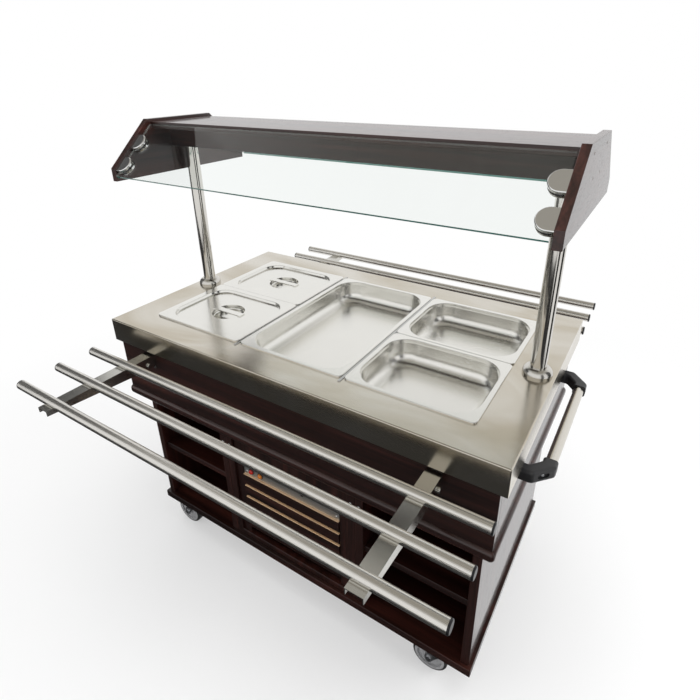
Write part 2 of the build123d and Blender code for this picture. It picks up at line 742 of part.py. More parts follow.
def glass_clamp(along):
    """A half-round clamp on the end panel, slotted for the pane."""
    plane = slope_plane(along, x_canopy, (-1, 0, 0))
    outline = Pos(clamp_reach / 2, 0) * Rectangle(clamp_reach, 2 * CLAMP_RADIUS)
    outline &= make_hull((Circle(CLAMP_RADIUS) + Pos(CLAMP_STRAIGHT, 0) * Circle(CLAMP_RADIUS)).edges())
    thick = GLASS_THICK + 2 * CLAMP_PLATE
    body = extrude(outline, thick / 2, both=True)
    outer_faces = body.faces().sort_by(Axis.Z)
    rims = [edge for face in (outer_faces[0], outer_faces[-1]) for edge in face.edges()]
    body = fillet([edge for edge in rims if edge.center().X > CLAMP_EDGE], CLAMP_EDGE)
    slot = Pos(GLASS_GAP + clamp_reach, 0) * Box(2 * clamp_reach, 2 * clamp_reach, GLASS_THICK)
    return plane * (body - slot)


# Tray slides, front one modelled and mirrored
def rails():
    length = 2 * x_rail
    return [tube((-x_rail, -y, z_rail), (1, 0, 0), RAIL_RADIUS, RAIL_WALL, length) for y in rail_places]


def rail_caps():
    caps = []
    for y in rail_places:
        end = (x_rail, -y, z_rail)
        head = rod(end, (1, 0, 0), RAIL_RADIUS, CAP_THICK)
        head = fillet(head.faces().sort_by(Axis.X)[-1].edges(), CAP_EDGE)
        plug = rod(end, (-1, 0, 0), RAIL_RADIUS - RAIL_WALL - CAP_CLEAR, CAP_PLUG)
        caps += right_and_left(head + plug)
    return caps


def arm():
    """A channel that opens downwards, tapered towards its tip and notched for the rails."""
    y_root = -y_pivot + pivot_tail
    z_root = z_pivot - ARM_BELOW_PIVOT
    z_tip_wall = z_arm - ARM_SINK - ARM_SEAT
    outline = [(y_root, z_root), (y_root, z_arm), (-y_arm_tip, z_arm), (-y_arm_tip, z_tip_wall),
               (-y_pivot - pivot_tail, z_root)]
    x_side = x_arm - arm_half
    channel = side_plate(outline, x_side, x_arm + arm_half)
    inner = arm_half - ARM_SHEET
    channel -= block(x_arm - inner, x_arm + inner, -y_arm_tip, y_root, z_root, z_arm - ARM_SHEET)
    for y in rail_places:
        channel -= rod((x_side, -y, z_rail), (1, 0, 0), RAIL_RADIUS + NOTCH_CLEAR, ARM_WIDTH)
    return channel - rod((x_side, -y_pivot, z_pivot), (1, 0, 0), PIVOT_RADIUS + PIVOT_CLEAR, ARM_WIDTH)


def hinge_bracket():
    """Two ears on a plate that is screwed to the upper box, inside the arm's channel."""
    half = arm_half - ARM_SHEET - BRACKET_CLEAR
    start = (x_arm - half, -y_pivot, z_pivot)
    y_face = -y_upper - BRACKET_SHEET
    z_low = z_pivot - BRACKET_EAR
    z_high = z_pivot + BRACKET_EAR
    rise = BRACKET_HEIGHT / 2
    plate = block(x_arm - half, x_arm + half, y_face, -y_upper, z_pivot - rise, z_pivot + rise)
    ears = block(x_arm - half, x_arm + half, -y_pivot, y_face, z_low, z_high)
    ears += rod(start, (1, 0, 0), BRACKET_EAR, 2 * half)
    gap = half - BRACKET_SHEET
    ears -= block(x_arm - gap, x_arm + gap, -y_pivot - BRACKET_EAR, y_face, z_low, z_high)
    ears -= rod(start, (1, 0, 0), PIVOT_RADIUS + PIVOT_CLEAR, 2 * half)
    return plate + ears


def hinge_bolt():
    half = arm_half + BOLT_GAP
    bolt = rod((x_arm - half, -y_pivot, z_pivot), (1, 0, 0), PIVOT_RADIUS, 2 * half)
    for way in (-1, 1):
        head = rod((x_arm + way * half, -y_pivot, z_pivot), (way, 0, 0), BOLT_HEAD_RADIUS, BOLT_HEAD)
        outer_face = head.faces().sort_by(lambda face: way * face.center().X)[-1]
        bolt += fillet(outer_face.edges(), BOLT_ROUND)
    return bolt


# Push handles
def handle_tube():
    half = HANDLE_SPAN / 2 + HANDLE_SOCKET
    return tube((x_handle, -half, z_handle), (0, 1, 0), HANDLE_RADIUS, HANDLE_WALL, 2 * half)


def handle_bracket():
    """A plastic elbow: a foot on the upper box, bent towards a boss that holds the tube's end."""
    y_boss = -HANDLE_SPAN / 2
    y_foot = y_boss - FOOT_OUT
    inner = x_handle - boss_radius
    outer = x_handle + boss_radius
    nose = (outer, y_boss - BOSS_LENGTH)
    heel = (x_upper + FOOT_CORNER, y_foot - FOOT_WIDTH)
    plan = Polygon((x_upper, y_foot), (x_upper + FOOT_REACH, y_foot), (inner, y_boss - BOSS_NECK),
                   (inner, y_boss), (outer, y_boss), nose, heel, (x_upper, y_foot - FOOT_WIDTH), align=None)
    bends = [v for v in plan.vertices() if v.X > x_upper + 1 and v.Y < y_boss - 1]
    plan = fillet(bends, ELBOW_ROUND)
    body = Pos(0, 0, z_handle) * extrude(plan, boss_radius, both=True)
    faces = body.faces().sort_by(Axis.Z)
    rims = [edge for face in (faces[0], faces[-1]) for edge in face.edges()]
    body = fillet([e for e in rims if e.center().X > x_upper + 1 and e.center().Y < y_boss - 1], BOSS_ROUND)
    body -= rod((x_handle, y_boss, z_handle), (0, -1, 0), HANDLE_RADIUS + HANDLE_CLEAR, HANDLE_SOCKET)
    along = Vector(nose[0] - heel[0], nose[1] - heel[1]).normalized()
    middle = ((nose[0] + heel[0]) / 2, (nose[1] + heel[1]) / 2, z_handle)
    slope = Plane(origin=middle, x_dir=along, z_dir=along.cross(Vector(0, 0, 1)))
    return body - extrude(slope * SlotOverall(RECESS_LENGTH, RECESS_WIDTH), -RECESS_DEPTH)


# Castors: every wheel trails towards -X
def castor_plate(x, y):
    plate = extrude(rounded(CASTOR_PLATE_X, CASTOR_PLATE_Y, CASTOR_PLATE_CORNER), CASTOR_PLATE)
    kingpin = Cylinder(KINGPIN_RADIUS, KINGPIN_LENGTH, align=(Align.CENTER, Align.CENTER, Align.MAX))
    return Pos(x, y, z_castor_plate) * (plate + kingpin)


def castor_fork(braked):
    """A crown on the kingpin with two legs down to the axle, and a pin for any brake."""
    crown = rod((0, 0, z_crown), (0, 0, 1), FORK_CROWN, CROWN_HEIGHT)
    crown -= rod((0, 0, z_crown_top), (0, 0, -1), KINGPIN_RADIUS + KINGPIN_CLEAR, KINGPIN_LENGTH)
    x_axle = -CASTOR_TRAIL
    place = Plane(origin=(0, y_leg, 0), x_dir=(1, 0, 0), z_dir=(0, -1, 0))
    z_bridge = z_crown + BRIDGE_HEIGHT
    half = y_leg + FORK_SHEET
    leg = Polygon((FORK_CROWN, z_bridge), (-FORK_CROWN, z_bridge), (x_axle - FORK_END, z_axle),
                  (x_axle + FORK_END, z_axle), align=None)
    leg += Pos(x_axle, z_axle) * Circle(FORK_END)
    if braked:
        eyes = Pos(x_pedal, z_pedal) * Circle(PEDAL_EYE) + Pos(-FORK_CROWN, z_crown) * Circle(PEDAL_EYE)
        leg += make_hull(eyes.edges())
    leg = extrude(place * leg, -FORK_SHEET)
    bridge = block(-FORK_CROWN, FORK_CROWN, -half, half, z_crown, z_bridge)
    bridge -= rod((0, 0, z_crown), (0, 0, 1), KINGPIN_RADIUS + KINGPIN_CLEAR, CROWN_HEIGHT)
    fork = crown + bridge + leg + mirror(leg, Plane.XZ)
    axle = rod((x_axle, -half - AXLE_HEAD, z_axle), (0, 1, 0), AXLE_RADIUS, 2 * (half + AXLE_HEAD))
    fork -= axle
    for way in (-1, 1):
        axle += rod((x_axle, way * half, z_axle), (0, way, 0), AXLE_HEAD_RADIUS, AXLE_HEAD)
    pieces = [fork, axle]
    if braked:
        pin = rod((x_pedal, -half, z_pedal), (0, 1, 0), PEDAL_PIN_RADIUS, 2 * half)
        pieces[0] -= pin
        pieces.append(pin)
    return pieces


def castor_wheel():
    """A wheel with a rounded tread and a dished side, on the axle."""
    start = (-CASTOR_TRAIL, -WHEEL_WIDTH / 2, z_axle)
    wheel = rod(start, (0, 1, 0), WHEEL_RADIUS, WHEEL_WIDTH)
    faces = wheel.faces().sort_by(Axis.Y)
    wheel = fillet([*faces[0].edges(), *faces[-1].edges()], TREAD_ROUND)
    for way in (-1, 1):
        face = (-CASTOR_TRAIL, way * WHEEL_WIDTH / 2, z_axle)
        dish = rod(face, (0, -way, 0), WHEEL_RADIUS - TYRE_WALL, WHEEL_DISH)
        wheel -= dish - rod(face, (0, -way, 0), HUB_RADIUS, WHEEL_DISH)
    return wheel - rod(start, (0, 1, 0), AXLE_RADIUS + AXLE_CLEAR, WHEEL_WIDTH)


def brake_pedal():
    """A foot plate on a pin between the fork's legs, outside the wheel."""
    half = y_leg - PEDAL_SIDE
    start = (x_pedal, -half, z_pedal)
    z_plate_face = z_pedal + PEDAL_EYE
    eye = rod(start, (0, 1, 0), PEDAL_EYE, 2 * half)
    plate = block(x_pedal - PEDAL_LENGTH, x_pedal, -half, half, z_plate_face - PEDAL_THICK, z_plate_face)
    return eye + plate - rod(start, (0, 1, 0), PEDAL_PIN_RADIUS + PEDAL_CLEAR, 2 * half)


# Write the nodes
save("base_board", base_board())
right_side, left_side = right_and_left(side_panel())
save("side_panel_right", right_side)
save("side_panel_left", left_side)
save("divider_boards", *divider_boards())
save("shelves", *right_and_left(shelf()))
save("back_panel", back_panel())
save("waist_board", waist_board())
front_panel, rear_panel = front_and_rear(upper_front_panel())
save("upper_front_panel", front_panel)
save("upper_rear_panel", rear_panel)
save("upper_end_panels", *right_and_left(upper_end_panel()))

save("louvre_frame", *louvre_frame())
save("louvre_slats", *louvre_slats())
save("control_plate", control_plate())
save("lamp_bezels", bezel(x_button, LENS_RADIUS + BUTTON_CLEAR), bezel(x_lamp, LENS_RADIUS))
save("power_button", lens(x_button, BUTTON_SKIRT))
save("pilot_lamp", lens(x_lamp, BUTTON_SKIRT + BUTTON_TRAVEL + BEZEL_RISE))
save("thermostat", thermostat())
save("thermostat_knob", thermostat_knob())

save("worktop", worktop())
save("water_well", water_well())
save("heating_element", heating_element())
save("drain_pipe", *drain_pipe())
save("drain_valve", drain_valve())
save("drain_lever", drain_lever())

save("pan_bars", *right_and_left(pan_bar()), *right_and_left(cross_bar()))
y_half = (half_pan + PAN_PLAY) / 2
save("pan_left_front", pan(-pan_pitch, -y_half, half_pan))
save("pan_left_rear", pan(-pan_pitch, y_half, half_pan))
save("pan_centre", pan(0, 0, PAN_LENGTH))
save("pan_right_front", pan(pan_pitch, -y_half, half_pan))
save("pan_right_rear", pan(pan_pitch, y_half, half_pan))
save("lid_front", *lid(-pan_pitch, -y_half))
save("lid_rear", *lid(-pan_pitch, y_half))

save("canopy_posts", *right_and_left(canopy_post()))
save("post_flanges", *right_and_left(post_flange()))
right_end, left_end = right_and_left(canopy_end())
save("canopy_end_right", right_end)
save("canopy_end_left", left_end)
save("canopy_top_board", canopy_top_board())
save("canopy_beam", *canopy_beam())
save("canopy_glass", *front_and_rear(canopy_glass()))
save("glass_clamps", *[twin for along in clamp_places for twin in all_corners(glass_clamp(along))])

for side, way in (("front", 0), ("rear", 1)):
    save(side + "_rails", *[front_and_rear(piece)[way] for piece in rails()])
    save(side + "_arms", *[front_and_rear(piece)[way] for piece in right_and_left(arm())])
    save(side + "_rail_caps", *[front_and_rear(piece)[way] for piece in rail_caps()])
save("hinge_brackets", *all_corners(hinge_bracket()), *all_corners(hinge_bolt()))

save("handle_tubes", *right_and_left(handle_tube()))
save("handle_brackets", *all_corners(handle_bracket()))

x_castor = x_base - CASTOR_INSET_X
y_castor = y_base - CASTOR_INSET_Y
plates = []
for row, y, braked in (("front", -y_castor, False), ("rear", y_castor, True)):
    for column, x in (("left", -x_castor), ("right", x_castor)):
        place = Pos(x, y, 0)
        name = row + "_" + column
        plates.append(castor_plate(x, y))
        save("castor_fork_" + name, *[place * piece for piece in castor_fork(braked)])
        save("castor_wheel_" + name, place * castor_wheel())
        if braked:
            save("brake_pedal_" + column, place * brake_pedal())
save("castor_plates", *plates)
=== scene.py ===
# %% [markdown]
# # A hot buffet counter
# The counter's boards, sheet metal, pans, rails and castors are solid parts that were drawn to size first.
# This lesson loads them, gives every one a finish, adds the small fixings that show on the real counter,
# and photographs the result in a plain white studio.

# %% Load the solid parts
import bpy
import math
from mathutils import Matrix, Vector


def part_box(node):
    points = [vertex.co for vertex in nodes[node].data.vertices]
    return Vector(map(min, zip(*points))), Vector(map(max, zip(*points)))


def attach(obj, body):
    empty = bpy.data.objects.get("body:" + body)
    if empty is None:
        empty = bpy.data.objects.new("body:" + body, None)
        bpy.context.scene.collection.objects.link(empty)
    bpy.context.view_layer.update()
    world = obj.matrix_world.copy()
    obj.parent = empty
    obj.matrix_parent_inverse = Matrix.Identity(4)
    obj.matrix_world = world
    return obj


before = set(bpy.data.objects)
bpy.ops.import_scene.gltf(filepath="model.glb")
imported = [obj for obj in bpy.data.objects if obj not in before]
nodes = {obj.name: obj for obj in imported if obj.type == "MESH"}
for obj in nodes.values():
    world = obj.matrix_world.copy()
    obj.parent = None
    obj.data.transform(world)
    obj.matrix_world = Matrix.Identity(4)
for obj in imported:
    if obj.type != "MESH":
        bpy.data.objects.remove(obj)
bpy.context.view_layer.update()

# %% [markdown]
# ## Writing a finish
# A finish is a small network of shader nodes. It could be wired by hand, but sums are easier to read as sums.
# A Term stands for one socket, so `1 - mask` adds the Math node that works it out, and `Finish.node` adds
# any other node: its settings first, then the values or links of its sockets.

# %% Terms and finishes
class Term:
    """One value in a shader; arithmetic on terms adds Math nodes."""

    def __init__(self, finish, socket):
        self.finish = finish
        self.socket = socket

    def maths(self, operation, first, second):
        return self.finish.node("ShaderNodeMath", {"operation": operation}, {0: first, 1: second})

    def __add__(self, other):
        return self.maths("ADD", self, other)

    def __sub__(self, other):
        return self.maths("SUBTRACT", self, other)

    def __rsub__(self, other):
        return self.maths("SUBTRACT", other, self)

    def __mul__(self, other):
        return self.maths("MULTIPLY", self, other)

    def __gt__(self, other):
        return self.maths("GREATER_THAN", self, other)

    def __lt__(self, other):
        return self.maths("LESS_THAN", self, other)

    __radd__ = __add__
    __rmul__ = __mul__


class Finish:
    """A material in the making."""

    def __init__(self, name, holder=None):
        self.material = holder or bpy.data.materials.new(name)
        self.material.use_nodes = True
        self.tree = self.material.node_tree
        self.tree.nodes.clear()

    def node(self, kind, settings=None, sockets=None, output=0):
        made = self.tree.nodes.new(kind)
        for name, value in (settings or {}).items():
            if name == "stops":
                stops = made.color_ramp.elements
                for index, (place, colour) in enumerate(value):
                    stop = stops[index] if index < len(stops) else stops.new(place)
                    stop.position = place
                    stop.color = colour
            else:
                setattr(made, name, value)
        for key, value in (sockets or {}).items():
            if isinstance(value, Term):
                self.tree.links.new(value.socket, made.inputs[key])
            else:
                made.inputs[key].default_value = value
        return Term(self, made.outputs[output])

    def place(self, part="Object"):
        return self.node("ShaderNodeTexCoord", output=part)

    def axis(self, vector, name):
        return self.node("ShaderNodeSeparateXYZ", None, {0: vector}, name)

    def noise(self, stretch, detail=3.0, distortion=0.0):
        """Noise from 0 to 1 with so many swings a metre along each axis."""
        spread = self.node("ShaderNodeMapping", None, {"Vector": self.place(), "Scale": stretch})
        sockets = {"Vector": spread, "Scale": 1.0, "Detail": detail, "Distortion": distortion}
        return self.node("ShaderNodeTexNoise", None, sockets)

    def ramp(self, value, stops):
        return self.node("ShaderNodeValToRGB", {"stops": stops}, {0: value})

    def blend(self, share, first, second):
        """A colour between two colours."""
        return self.node("ShaderNodeMix", {"data_type": "RGBA"}, {0: share, 6: first, 7: second}, 2)

    def bump(self, height, depth, strength=1.0):
        return self.node("ShaderNodeBump", None, {"Height": height, "Distance": depth, "Strength": strength})

    def surface(self, **sockets):
        """Ends the finish in one Principled shader; underscores in socket names stand for spaces."""
        named = {key.replace("_", " "): value for key, value in sockets.items()}
        shader = self.node("ShaderNodeBsdfPrincipled", None, named)
        return self.end(shader)

    def end(self, shader):
        output = self.tree.nodes.new("ShaderNodeOutputMaterial")
        self.tree.links.new(shader.socket, output.inputs[0])
        return self.material


def grey(value):
    return (value, value, value, 1.0)


def stretch(grain, along, across):
    """Swings a metre along the grain and across it."""
    return tuple(along if axis == grain else across for axis in "XYZ")


print("finish tools ready")

# %% [markdown]
# ## Dark wood laminate
# The cabinet and canopy are boards faced with a dark brown laminate that copies coarse-grained wood: broad
# reddish bands, fine dark streaks and short open pores, under a satin lacquer. A picture would repeat and
# blur, so three noises stretched along the grain are layered instead: bands choose the colour, streaks
# darken it, and pores roughen it and sink into it.

# %% Laminate
WOOD_DARK = (0.0090, 0.0028, 0.0020, 1.0)
WOOD_MID = (0.0240, 0.0070, 0.0050, 1.0)
WOOD_RED = (0.0500, 0.0140, 0.0100, 1.0)
RAW_BOARD = (0.80, 0.56, 0.34, 1.0)
RAW_SPECK = (0.64, 0.43, 0.25, 1.0)
BAND_SWINGS = (0.9, 24.0)
STREAK_SWINGS = (5.0, 190.0)
PORE_SWINGS = (28.0, 900.0)
SPECK_SWINGS = (260.0, 260.0, 260.0)
PIT_LEVEL = 0.60
EDGE_TILT = 0.6


def laminate(name, grain, raw_edges=False):
    finish = Finish(name)
    bands = finish.noise(stretch(grain, *BAND_SWINGS), 3.0, 1.4)
    streaks = finish.noise(stretch(grain, *STREAK_SWINGS), 4.0)
    pores = finish.noise(stretch(grain, *PORE_SWINGS), 2.0)
    figure = 0.7 * bands + 0.3 * streaks
    colour = finish.ramp(figure, [(0.34, WOOD_DARK), (0.50, WOOD_MID), (0.66, WOOD_RED)])
    pits = pores > PIT_LEVEL
    colour = finish.blend(0.5 * pits, colour, WOOD_DARK)
    rough = 0.34 + 0.06 * streaks + 0.10 * pits
    if raw_edges:
        tilt = finish.axis(finish.place("Normal"), "Z")
        upright = finish.node("ShaderNodeMath", {"operation": "ABSOLUTE"}, {0: tilt})
        raw = upright > EDGE_TILT
        speckle = finish.noise(SPECK_SWINGS, 3.0)
        bare = finish.blend(speckle, RAW_BOARD, RAW_SPECK)
        colour = finish.blend(raw, colour, bare)
        rough = rough + 0.35 * raw
    relief = finish.bump(0.5 * streaks - 0.5 * pits, 0.0002, 0.30)
    return finish.surface(Base_Color=colour, Roughness=rough, Normal=relief, Specular_IOR_Level=0.3,
                          Coat_Weight=0.6, Coat_Roughness=0.08, Coat_IOR=1.5)


wood_along = laminate("wood_along_counter", "X")
wood_across = laminate("wood_across_counter", "Y")
wood_upright = laminate("wood_upright", "Z")
wood_slats = laminate("wood_slats", "X", raw_edges=True)
print("laminates", [m.name for m in (wood_along, wood_across, wood_upright, wood_slats)])

# %% [markdown]
# ## Stainless steel
# The counter's stainless steel is worked in several ways: rails and arms are brushed in one direction, the
# worktop is brushed sheet with wide warm, darker patches of painted brownish reflection, pans and lids are
# pressed to a soft satin, and posts and clamps are polished. A plain metal shader would look like a mirror or
# like paint, so noises move the colour and the roughness a little: fine lines along the brushing, wide
# clouds, or faint smears.

# %% Brushed and polished steel
FINE_LINES = 1500.0


def shade(colour, share):
    """A colour made darker or brighter, with its alpha."""
    return tuple(min(1.0, share * c) for c in colour) + (1.0,)


def brushed(name, colour, grain, roughness, lines_across=FINE_LINES, cloud=0.10):
    finish = Finish(name)
    lines = finish.noise(stretch(grain, 9.0, lines_across), 2.0)
    wear = finish.noise((7.0, 7.0, 7.0), 4.0, 0.6)
    tone = finish.blend(0.5 * lines + 0.5 * wear, shade(colour, 0.93), shade(colour, 1.05))
    rough = (roughness - 0.04 - cloud / 2) + 0.08 * lines + cloud * wear
    relief = finish.bump(lines, 0.00001, 0.15)
    return finish.surface(Base_Color=tone, Metallic=1.0, Roughness=rough, Normal=relief)


def brown_reflection_sheet(name, pale, painted_reflection_brown, grain, roughness):
    """Sheet with a faint brushing and wide warm, darker patches that are a painted brownish reflection."""
    finish = Finish(name)
    # The second colour is darker and warmer, and it is laid in these wide patches. It is a painted brownish
    # reflection, not a stain on the steel.
    brown_reflection_patches = finish.noise(stretch(grain, 2.2, 4.0), 3.0, 1.2)
    cloud = finish.ramp(brown_reflection_patches, [(0.36, grey(0.0)), (0.64, grey(1.0))])
    lines = finish.noise(stretch(grain, 7.0, FINE_LINES), 2.0)
    tone = finish.blend(cloud, shade(painted_reflection_brown, 1.0), shade(pale, 1.0))
    rough = (roughness - 0.06) + 0.07 * brown_reflection_patches + 0.05 * lines
    return finish.surface(Base_Color=tone, Metallic=1.0, Roughness=rough,
                          Normal=finish.bump(lines, 0.00001, 0.10))


def satin(name, colour, roughness):
    """Pressed sheet with a soft, even gloss and a few fine scratches."""
    finish = Finish(name)
    cloud = finish.noise((9.0, 9.0, 9.0), 4.0, 0.8)
    scratches = finish.noise((60.0, 340.0, 340.0), 3.0, 2.0)
    tone = finish.blend(cloud, shade(colour, 0.92), shade(colour, 1.0))
    rough = (roughness - 0.05) + 0.06 * cloud + 0.04 * scratches
    return finish.surface(Base_Color=tone, Metallic=1.0, Roughness=rough)


def polished(name, colour, grain, roughness):
    """Tube and castings that mirror their surroundings, with faint smears."""
    finish = Finish(name)
    lines = finish.noise(stretch(grain, 6.0, 700.0), 2.0)
    smears = finish.noise((22.0, 22.0, 22.0), 3.0, 1.0)
    tone = finish.blend(smears, shade(colour, 0.94), shade(colour, 1.0))
    rough = (roughness - 0.03) + 0.05 * smears + 0.03 * lines
    return finish.surface(Base_Color=tone, Metallic=1.0, Roughness=rough)


# The worktop's second, darker colour is the painted brownish reflection.
worktop_steel = brown_reflection_sheet("worktop_steel", (0.68, 0.65, 0.59), (0.52, 0.47, 0.38), "X", 0.20)
plate_steel = brushed("plate_steel", (0.70, 0.70, 0.69), "X", 0.48)
well_steel = brushed("well_steel", (0.60, 0.60, 0.59), "X", 0.36)
pan_steel = satin("pan_steel", (0.86, 0.85, 0.81), 0.26)
lid_steel = satin("lid_steel", (0.82, 0.81, 0.77), 0.18)
rail_steel = brushed("rail_steel", (0.72, 0.70, 0.66), "X", 0.27, FINE_LINES, 0.04)
arm_steel = brushed("arm_steel", (0.62, 0.61, 0.57), "Y", 0.22)
handle_steel = brushed("handle_steel", (0.70, 0.67, 0.61), "Y", 0.22)
zinc = brushed("zinc_plate", (0.60, 0.61, 0.63), "Z", 0.36, 300.0, 0.20)
heater_steel = brushed("heater_steel", (0.30, 0.28, 0.27), "X", 0.42, 500.0, 0.20)
post_steel = polished("post_steel", (0.68, 0.66, 0.62), "Z", 0.09)
flange_steel = polished("flange_steel", (0.66, 0.64, 0.60), "Z", 0.22)
bright_steel = polished("bright_steel", (0.82, 0.82, 0.81), "X", 0.10)
brass = polished("drain_brass", (0.72, 0.53, 0.27), "Z", 0.26)
print("steels ready")

# %% [markdown]
# ## Plastics, paint and rubber
# Handle brackets, rail caps, bezels and the knob are black moulded plastic with a fine spark-eroded grain.
# Noise at about a millimetre gives that grain as a bump and breaks up the gloss. The lamp and the button
# are clear coloured domes, and the drain lever is dipped in red.

# %% Moulded and painted finishes
def moulded(name, colour, roughness, shine=0.5):
    finish = Finish(name)
    grain = finish.noise((1300.0, 1300.0, 1300.0), 2.0)
    haze = finish.noise((18.0, 18.0, 18.0), 3.0)
    worn = tuple(1.35 * c + 0.004 for c in colour) + (1.0,)
    tone = finish.blend(haze, shade(colour, 1.0), worn)
    rough = (roughness - 0.08) + 0.16 * grain
    return finish.surface(Base_Color=tone, Roughness=rough, Specular_IOR_Level=shine,
                          Normal=finish.bump(grain, 0.00012, 0.5))


def clear_dome(name, colour):
    finish = Finish(name)
    ripple = finish.noise((420.0, 420.0, 420.0), 1.0)
    tone = finish.blend(ripple, shade(colour, 0.55), shade(colour, 1.0))
    return finish.surface(Base_Color=tone, Roughness=0.10 + 0.06 * ripple,
                          Coat_Weight=0.6, Coat_Roughness=0.04)


black_plastic = moulded("black_plastic", (0.018, 0.018, 0.019), 0.42)
cap_plastic = moulded("cap_plastic", (0.008, 0.008, 0.009), 0.30, 0.25)
pale_plastic = moulded("pale_plastic", (0.62, 0.60, 0.55), 0.40)
brown_cap = moulded("brown_cap", (0.10, 0.075, 0.065), 0.40)
red_dip = moulded("red_dip", (0.42, 0.025, 0.020), 0.30)
red_dome = clear_dome("red_dome", (0.70, 0.020, 0.015))
orange_dome = clear_dome("orange_dome", (0.90, 0.26, 0.02))
print("plastics ready")

# %% [markdown]
# ## Clear glass
# The canopy's panes are clear sheet glass. A long way through the sheet light turns green, so the lower edge
# looks dark teal and the other edges only pale. A refracting shader is slow and darkens what is behind, so
# the faces mix a see-through shader with a mirror that grows towards grazing views, and the narrow edges get
# a shader of their own. The edges are found from the direction of the surface, which is turned back where
# an edge is met from inside the sheet.

# %% Pane glass
PANE_TINT = (0.972, 0.986, 0.980, 1.0)
EDGE_PALE = (0.50, 0.53, 0.51, 1.0)
EDGE_TEAL = (0.003, 0.110, 0.088, 1.0)


def pane_glass():
    finish = Finish("pane_glass")
    facing = finish.place("Normal")
    inside = finish.node("ShaderNodeNewGeometry", output="Backfacing")
    side = finish.axis(finish.place(), "Y")
    lean = finish.axis(facing, "Y") * finish.axis(facing, "Z") * side
    edge = lean < 0.01
    clear = finish.node("ShaderNodeBsdfTransparent", None, {0: PANE_TINT})
    smear = finish.noise((14.0, 5.0, 5.0), 3.0, 0.8)
    mirror = finish.node("ShaderNodeBsdfGlossy", None, {"Color": grey(1.0), "Roughness": 0.02})
    glance = finish.node("ShaderNodeLayerWeight", None, {"Blend": 0.5}, "Facing")
    steep = finish.node("ShaderNodeMath", {"operation": "POWER"}, {0: glance, 1: 5.0})
    gloss = 0.03 + 0.02 * smear + 0.9 * steep
    face = finish.node("ShaderNodeMixShader", None, {0: gloss, 1: clear, 2: mirror})
    under = finish.axis(facing, "Z") * (1.0 - 2.0 * inside) < -0.2
    colour = finish.blend(under, EDGE_PALE, EDGE_TEAL)
    rim = finish.node("ShaderNodeBsdfPrincipled", None,
                      {"Base Color": colour, "Roughness": 0.12, "Specular IOR Level": 0.15,
                       "Alpha": 0.25 + 0.7 * under})
    return finish.end(finish.node("ShaderNodeMixShader", None, {0: edge, 1: face, 2: rim}))


glass = pane_glass()
print("glass ready")

# %% [markdown]
# ## Castor wheels
# A castor wheel is one moulding to the eye, but its tread is a dark band round a grey core. The band is
# picked out by the distance from the axle, so each wheel's finish is told where its own axle is.

# %% Wheel finish
TREAD_WIDTH = 0.007
CORE_TONES = ((0.36, 0.36, 0.37, 1.0), (0.47, 0.47, 0.48, 1.0))
BAND_TONES = ((0.020, 0.020, 0.021, 1.0), (0.045, 0.044, 0.043, 1.0))


def wheel_finish(node):
    low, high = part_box(node)
    middle = (low + high) / 2
    radius = (high.z - low.z) / 2
    finish = Finish(node + "_finish")
    offset = finish.node("ShaderNodeVectorMath", {"operation": "SUBTRACT"},
                         {0: finish.place(), 1: tuple(middle)})
    flat = finish.node("ShaderNodeVectorMath", {"operation": "MULTIPLY"}, {0: offset, 1: (1.0, 0.0, 1.0)})
    reach = finish.node("ShaderNodeVectorMath", {"operation": "LENGTH"}, {0: flat}, "Value")
    tread = reach > radius - TREAD_WIDTH
    scuff = finish.noise((60.0, 60.0, 60.0), 4.0)
    core = finish.blend(scuff, *CORE_TONES)
    band = finish.blend(scuff, *BAND_TONES)
    rough = 0.34 + 0.20 * tread + 0.12 * scuff
    return finish.surface(Base_Color=finish.blend(tread, core, band), Roughness=rough,
                          Normal=finish.bump(scuff, 0.0002, 0.4))


wheels = {name: wheel_finish(name) for name in sorted(nodes) if name.startswith("castor_wheel")}
print("wheels", len(wheels))

# %% [markdown]
# ## Dressing the parts
# Each solid part now takes its finish. Boards are named by the way their grain runs: long boards along the
# counter, end boards across it, posts and panels upright.

# %% Give every part its finish
FINISHES = {
    wood_along: ["base_board", "shelves", "waist_board", "upper_front_panel", "upper_rear_panel",
                 "canopy_top_board", "canopy_beam"],
    wood_across: ["upper_end_panels", "canopy_end_left", "canopy_end_right"],
    wood_upright: ["side_panel_left", "side_panel_right", "divider_boards", "back_panel", "louvre_frame"],
    wood_slats: ["louvre_slats"],
    worktop_steel: ["worktop"],
    plate_steel: ["control_plate"],
    well_steel: ["water_well", "pan_bars"],
    pan_steel: ["pan_left_front", "pan_left_rear", "pan_centre", "pan_right_front", "pan_right_rear"],
    lid_steel: ["lid_front", "lid_rear"],
    rail_steel: ["front_rails", "rear_rails"],
    arm_steel: ["front_arms", "rear_arms", "hinge_brackets"],
    handle_steel: ["handle_tubes"],
    post_steel: ["canopy_posts"],
    flange_steel: ["post_flanges"],
    bright_steel: ["glass_clamps"],
    brass: ["drain_pipe", "drain_valve"],
    heater_steel: ["heating_element"],
    zinc: ["castor_plates", "brake_pedal_left", "brake_pedal_right"]
    + [name for name in nodes if name.startswith("castor_fork")],
    black_plastic: ["lamp_bezels", "thermostat_knob", "handle_brackets"],
    cap_plastic: ["front_rail_caps", "rear_rail_caps"],
    pale_plastic: ["thermostat"],
    red_dip: ["drain_lever"],
    red_dome: ["power_button"],
    orange_dome: ["pilot_lamp"],
    glass: ["canopy_glass"],
}


def dress(piece, material):
    piece.data.materials.clear()
    piece.data.materials.append(material)


for material, names in FINISHES.items():
    for name in names:
        dress(nodes[name], material)
for name, material in wheels.items():
    dress(nodes[name], material)
dressed = sum(len(names) for names in FINISHES.values()) + len(wheels)
print("dressed", dressed, "of", len(nodes))

